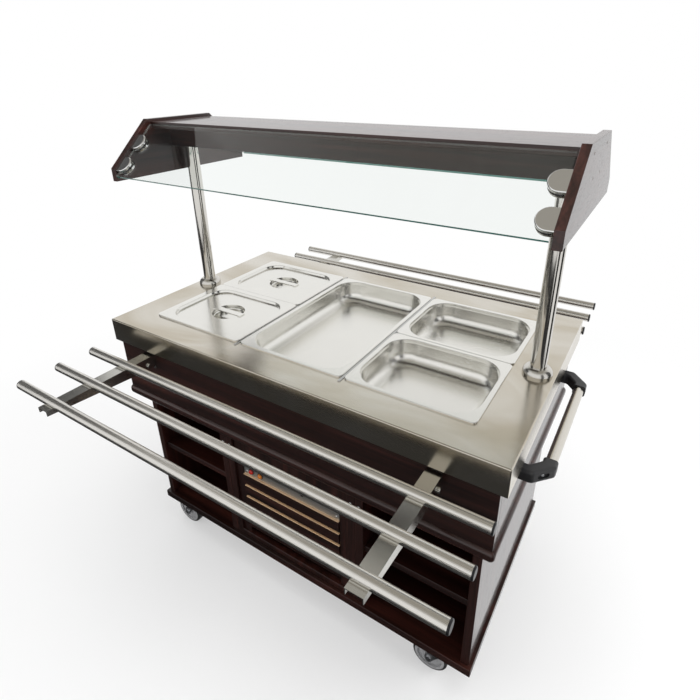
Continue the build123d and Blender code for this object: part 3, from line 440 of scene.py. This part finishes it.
# %% [markdown]
# ## Screws
# Small screws hold the control plate, the divider boards and the back panel. Brown ones are sunk in the
# canopy's end panels, and a screw sits at the bottom of the oval recess in each handle bracket. One head is
# modelled from a cylinder: its rim is bevelled round, and a cross slot is cut by two bars with a boolean. It
# is then copied to every place.

# %% Model one screw head
def clear_selection():
    bpy.ops.object.select_all(action="DESELECT")


def select_only(*pieces):
    clear_selection()
    for piece in pieces:
        piece.select_set(True)
    bpy.context.view_layer.objects.active = pieces[0]


def select_faces(piece, wanted):
    """In edit mode, selects only the faces that pass a test."""
    bpy.ops.object.mode_set(mode="OBJECT")
    for part in (piece.data.vertices, piece.data.edges, piece.data.polygons):
        part.foreach_set("select", [False] * len(part))
    for face in piece.data.polygons:
        face.select = wanted(face)
    bpy.ops.object.mode_set(mode="EDIT")
    bpy.ops.mesh.select_mode(type="FACE")


def cut(piece, cutter):
    """Takes one shape out of another and removes the cutter."""
    select_only(piece)
    slot = piece.modifiers.new("slot", "BOOLEAN")
    slot.operation = "DIFFERENCE"
    slot.object = cutter
    bpy.ops.object.modifier_apply(modifier=slot.name)
    bpy.data.objects.remove(cutter, do_unlink=True)


def screw_head(name, radius, height):
    """A domed head on z = 0 that faces +Z, with a cross slot."""
    clear_selection()
    bpy.ops.mesh.primitive_cylinder_add(vertices=32, radius=radius, depth=height,
                                        location=(0, 0, height / 2))
    head = bpy.context.object
    head.name = name
    bpy.ops.object.transform_apply(location=True)
    bpy.ops.object.mode_set(mode="EDIT")
    select_faces(head, lambda face: face.normal.z > 0.9)
    bpy.ops.mesh.bevel(offset=height * 0.8, segments=4, profile=0.5)
    bpy.ops.object.mode_set(mode="OBJECT")
    for turn in (0.0, math.pi / 2):
        bpy.ops.mesh.primitive_cube_add(size=1.0, location=(0, 0, height), rotation=(0, 0, turn))
        bar = bpy.context.object
        bar.scale = (1.25 * radius, 0.28 * radius, height)
        cut(head, bar)
    select_only(head)
    bpy.ops.object.shade_smooth_by_angle(angle=math.radians(35))
    return head


def copies(model, name, spots, material, body):
    """Copies of a model at (place, turn) spots, joined into one piece at the origin."""
    made = []
    for place, turn in spots:
        twin = model.copy()
        twin.data = model.data.copy()
        bpy.context.collection.objects.link(twin)
        twin.location = place
        twin.rotation_euler = turn
        made.append(twin)
    select_only(*made)
    bpy.ops.object.join()
    piece = bpy.context.object
    bpy.ops.object.transform_apply(location=True, rotation=True, scale=True)
    piece.name = name
    dress(piece, material)
    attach(piece, body)
    print(name, len(spots), "copies,", len(piece.data.polygons), "faces")
    return piece


FACING = {
    "-Y": (math.pi / 2, 0, 0), "+Y": (-math.pi / 2, 0, 0),
    "+X": (0, math.pi / 2, 0), "-X": (0, -math.pi / 2, 0), "-Z": (math.pi, 0, 0),
}
small_screw = screw_head("small_screw", 0.0038, 0.0020)
print("screw head", len(small_screw.data.polygons), "faces")

# %% Place the screws
plate_low, plate_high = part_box("control_plate")
SCREW_INSET = 0.010
plate_spots = [((x, plate_low.y, z), FACING["-Y"])
               for x in (plate_low.x + SCREW_INSET, plate_high.x - SCREW_INSET)
               for z in (plate_low.z + SCREW_INSET, plate_high.z - SCREW_INSET)]
copies(small_screw, "plate_screws", plate_spots, bright_steel, "counter")

divider_low, divider_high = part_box("divider_boards")
DIVIDER_SCREW_DROP = 0.072
DIVIDER_SCREWS_IN = (0.012, 0.037)
divider_z = divider_high.z - DIVIDER_SCREW_DROP
divider_spots = [((way * (divider_high.x - inset), divider_low.y, divider_z), FACING["-Y"])
                 for way in (-1, 1) for inset in DIVIDER_SCREWS_IN]
copies(small_screw, "divider_screws", divider_spots, bright_steel, "counter")

end_low, end_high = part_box("canopy_end_right")
CANOPY_SCREWS = ((0.077, 0.0205), (0.041, 0.072))
canopy_spots = [((way * end_high.x, side * out, end_high.z - drop), FACING["+X" if way > 0 else "-X"])
                for way in (-1, 1) for side in (-1, 1) for out, drop in CANOPY_SCREWS]
SCREW_SINK = 0.0017
canopy_spots = [((place[0] - math.copysign(SCREW_SINK, place[0]), place[1], place[2]), turn)
                for place, turn in canopy_spots]
copies(small_screw, "canopy_screws", canopy_spots, brown_cap, "counter")

bracket_low, bracket_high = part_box("handle_brackets")
bracket_z = (bracket_low.z + bracket_high.z) / 2
RECESS_FLOOR = (0.6283, 0.2008)
RECESS_LEAN = (0.745, 0.667)
recess_spots = []
for way in (-1, 1):
    for side in (-1, 1):
        lean = Vector((way * RECESS_LEAN[0], side * RECESS_LEAN[1], 0))
        place = (way * RECESS_FLOOR[0], side * RECESS_FLOOR[1], bracket_z)
        recess_spots.append((place, lean.to_track_quat("Z", "Y").to_euler()))
copies(small_screw, "handle_screws", recess_spots, zinc, "counter")

back_low, back_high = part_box("back_panel")
BACK_SCREWS_X = (0.27, 0.50)
back_spots = [((way * x, back_high.y, z), FACING["+Y"]) for way in (-1, 1) for x in BACK_SCREWS_X
              for z in (back_low.z + SCREW_INSET, back_high.z - SCREW_INSET)]
copies(small_screw, "back_screws", back_spots, bright_steel, "counter")
bpy.data.objects.remove(small_screw, do_unlink=True)

# %% [markdown]
# ## Castor bolts
# Each castor plate is held under the base board by four hexagon bolts. A six-sided cylinder with a bevelled
# rim is that head; it is modelled once and copied to the sixteen places.

# %% Hexagon bolts under the base
def hexagon_head(name, radius, height):
    clear_selection()
    bpy.ops.mesh.primitive_cylinder_add(vertices=6, radius=radius, depth=height,
                                        location=(0, 0, height / 2))
    head = bpy.context.object
    head.name = name
    bpy.ops.object.transform_apply(location=True)
    bpy.ops.object.mode_set(mode="EDIT")
    select_faces(head, lambda face: face.normal.z > 0.9)
    bpy.ops.mesh.inset(thickness=radius * 0.12)
    bpy.ops.transform.translate(value=(0, 0, height * 0.10))
    bpy.ops.object.mode_set(mode="OBJECT")
    return head


castor_low, castor_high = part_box("castor_plates")
BOLT_IN = 0.0115
PLATE_X = 0.095
PLATE_Y = 0.075
PLATE_THICK = 0.003
hexagon = hexagon_head("hexagon_bolt", 0.0065, 0.0045)
bolt_spots = []
for way_x in (-1, 1):
    for way_y in (-1, 1):
        for x in (castor_high.x - BOLT_IN, castor_high.x - PLATE_X + BOLT_IN):
            for y in (castor_high.y - BOLT_IN, castor_high.y - PLATE_Y + BOLT_IN):
                bolt_spots.append(((way_x * x, way_y * y, castor_high.z - PLATE_THICK), FACING["-Z"]))
copies(hexagon, "castor_bolts", bolt_spots, zinc, "counter")
bpy.data.objects.remove(hexagon, do_unlink=True)

# %% [markdown]
# ## Studio
# The counter was photographed against plain white. A wide pale floor takes a soft shadow; towards the camera
# and in reflections it glows so that it joins the white behind it. Steel shows what stands around it, so
# reflections also meet a dark stretch of floor in front, a warm grey ceiling and a few dark upright cards,
# which nothing else sees. Soft lamps hang above and at both sides.

# %% Floor, background and lamps
FLOOR_SIZE = 40.0
SHADOW_REACH = (0.8, 2.2)
SHADOW_FADE = 0.45
DARK_MIDDLE = (-0.7, -1.7, 0.0)
DARK_HALF = (2.6, 1.4, 1.0)
DARK_FADE = 1.15
CEILING = (0.36, 0.34, 0.30, 1.0)
CEILING_FROM = (0.55, 0.88)


def studio_floor():
    clear_selection()
    bpy.ops.mesh.primitive_plane_add(size=FLOOR_SIZE, location=(0, 0, 0))
    floor = bpy.context.object
    floor.name = "studio_floor"
    finish = Finish("floor_white")
    rays = finish.node("ShaderNodeLightPath", output="Is Camera Ray")
    gloss = finish.node("ShaderNodeLightPath", output="Is Glossy Ray")
    through = finish.node("ShaderNodeLightPath", output="Is Transmission Ray")
    away = finish.node("ShaderNodeVectorMath", {"operation": "LENGTH"}, {0: finish.place()}, "Value")
    seen = finish.node("ShaderNodeMapRange", None,
                       {0: away, 1: SHADOW_REACH[0], 2: SHADOW_REACH[1], 3: SHADOW_FADE, 4: 1.0})
    offset = finish.node("ShaderNodeVectorMath", {"operation": "SUBTRACT"},
                         {0: finish.place(), 1: DARK_MIDDLE})
    share = finish.node("ShaderNodeVectorMath", {"operation": "DIVIDE"}, {0: offset, 1: DARK_HALF})
    share = finish.node("ShaderNodeVectorMath", {"operation": "ABSOLUTE"}, {0: share})
    outside = finish.node("ShaderNodeMath", {"operation": "MAXIMUM"},
                          {0: finish.axis(share, "X"), 1: finish.axis(share, "Y")})
    mirrored = finish.node("ShaderNodeMapRange", None, {0: outside, 1: 1.0, 2: DARK_FADE})
    bright = finish.node("ShaderNodeMath", {"operation": "ADD", "use_clamp": True},
                         {0: rays * seen, 1: (gloss + through) * mirrored})
    matt = finish.node("ShaderNodeBsdfDiffuse", None, {0: finish.blend(gloss, grey(0.85), grey(0.04))})
    glow = finish.node("ShaderNodeEmission", None, {0: grey(1.0), 1: 1.0})
    finish.end(finish.node("ShaderNodeMixShader", None, {0: bright, 1: matt, 2: glow}))
    dress(floor, finish.material)


def white_world(level):
    world = bpy.data.worlds.new("white_world")
    bpy.context.scene.world = world
    finish = Finish("white_world", world)
    rays = finish.node("ShaderNodeLightPath", output="Is Camera Ray")
    gloss = finish.node("ShaderNodeLightPath", output="Is Glossy Ray")
    through = finish.node("ShaderNodeLightPath", output="Is Transmission Ray")
    seen = finish.node("ShaderNodeMath", {"operation": "ADD", "use_clamp": True},
                       {0: rays + gloss, 1: through})
    height = finish.axis(finish.place("Generated"), "Z")
    overhead = finish.node("ShaderNodeMapRange", None,
                           {0: height, 1: CEILING_FROM[0], 2: CEILING_FROM[1]})
    colour = finish.blend(gloss * overhead, grey(1.0), CEILING)
    strength = level + (1.0 - level) * seen
    back = finish.node("ShaderNodeBackground", None, {0: colour, 1: strength})
    output = finish.tree.nodes.new("ShaderNodeOutputWorld")
    finish.tree.links.new(back.socket, output.inputs[0])


def dark_card(name, tone, place, size):
    """An upright dark card out of the picture, which shows only as a streak in polished steel."""
    clear_selection()
    bpy.ops.mesh.primitive_plane_add(size=1.0, location=place, rotation=(0, math.pi / 2, 0))
    card = bpy.context.object
    card.name = name
    card.scale = (*size, 1.0)
    finish = Finish(name + "_paper")
    finish.surface(Base_Color=grey(tone), Roughness=0.9)
    dress(card, finish.material)
    card.visible_camera = False
    card.visible_diffuse = False
    card.visible_transmission = False
    card.visible_shadow = False


def soft_lamp(name, place, target, size, power):
    lamp = bpy.data.lights.new(name, "AREA")
    lamp.shape = "RECTANGLE"
    lamp.size, lamp.size_y = size
    lamp.energy = power
    holder = bpy.data.objects.new(name, lamp)
    bpy.context.collection.objects.link(holder)
    holder.location = place
    holder.rotation_euler = (Vector(target) - Vector(place)).to_track_quat("-Z", "Y").to_euler()
    holder.visible_glossy = False


studio_floor()
white_world(0.45)
dark_card("left_card", 0.12, (-3.4, -0.6, 2.0), (4.0, 3.2))
dark_card("right_card_front", 0.03, (1.9, -1.1, 1.2), (2.4, 0.8))
dark_card("right_card_rear", 0.03, (1.9, 0.5, 1.2), (2.4, 0.9))
soft_lamp("top_lamp", (0.2, -0.3, 3.4), (0, 0, 0.8), (3.0, 2.4), 90.0)
soft_lamp("right_lamp", (3.2, 1.2, 2.2), (0, 0, 0.7), (2.0, 2.0), 70.0)
soft_lamp("left_lamp", (-2.8, -2.4, 2.2), (0, 0, 0.6), (2.0, 2.0), 25.0)
print("studio ready")

# %% [markdown]
# ## Camera
# The photograph looks down on the counter from the front right corner, close by, with a wide lens whose
# picture was cropped off-centre. Place, turn, lens and shift were worked out from the corners of the pans,
# the worktop and the canopy.

# %% Camera
CAMERA_PLACE = (0.7333, -1.0946, 1.5062)
CAMERA_TURN = (65.794, 0.756, 32.292)
LENS_MM = 25.92
SHIFT = (-0.0039, -0.0773)
camera = bpy.data.cameras.new("camera")
camera.lens = LENS_MM
camera.sensor_width = 36.0
camera.shift_x, camera.shift_y = SHIFT
camera.clip_start = 0.01
holder = bpy.data.objects.new("camera", camera)
bpy.context.collection.objects.link(holder)
holder.location = CAMERA_PLACE
holder.rotation_euler = [math.radians(angle) for angle in CAMERA_TURN]
bpy.context.scene.camera = holder
bpy.context.scene.view_settings.view_transform = "Standard"
print("camera at", CAMERA_PLACE)
